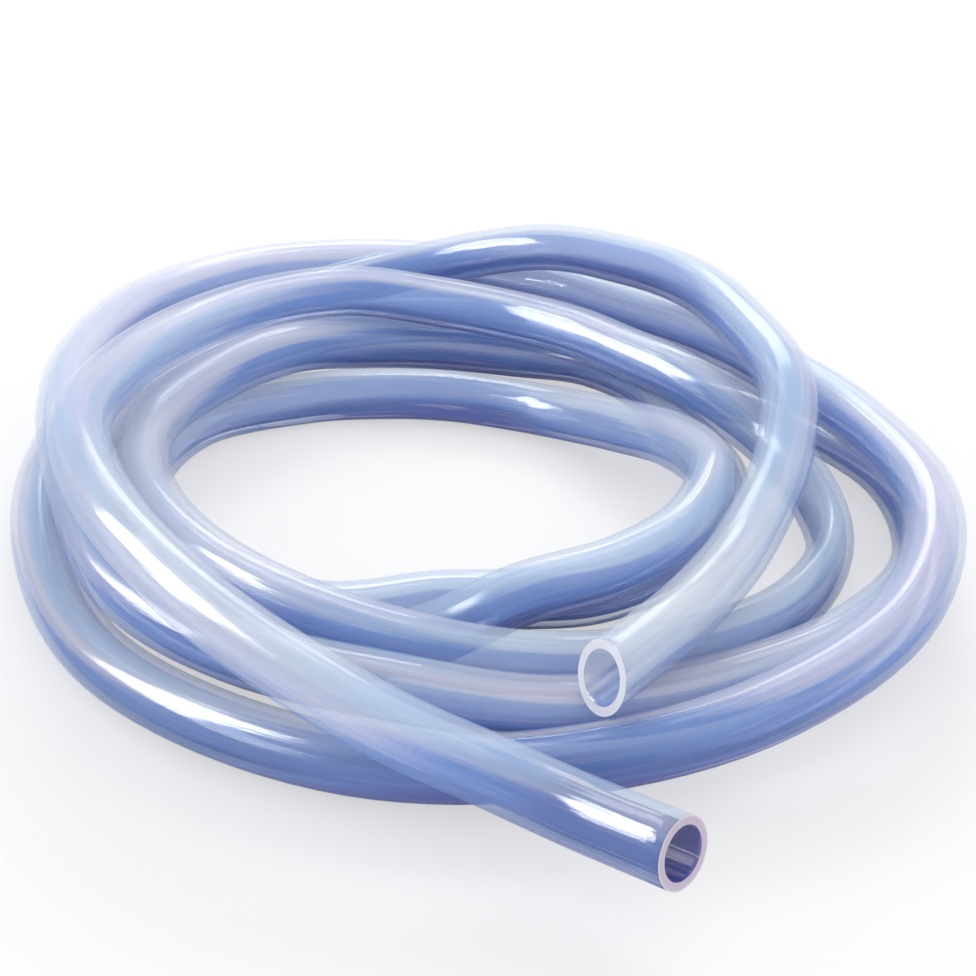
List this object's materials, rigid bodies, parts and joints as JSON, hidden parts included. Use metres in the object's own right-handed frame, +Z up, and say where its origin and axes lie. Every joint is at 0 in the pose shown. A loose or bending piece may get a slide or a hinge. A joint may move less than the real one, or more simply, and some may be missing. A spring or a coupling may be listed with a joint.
{
  "type": "silicone tubing coil",
  "caption": "Translucent silicone laboratory tubing, 9 mm bore and 12 mm outside, laid down in a loose coil of nearly six turns with its two ends cut a little on the skew.",
  "frame": {"origin": "centre of the bounding box, on the floor that the coil lies on", "axes": "+Z up out of the floor, +X to the right and +Y away from whoever faces the two cut ends"},
  "size_m": [0.1966, 0.2366, 0.0421],
  "materials": {
    "silicone": "smooth translucent silicone, glossy skin, faint blue tint"
  },
  "bodies": {
    "root": {"tube": "silicone"}
  },
  "joints": []
}
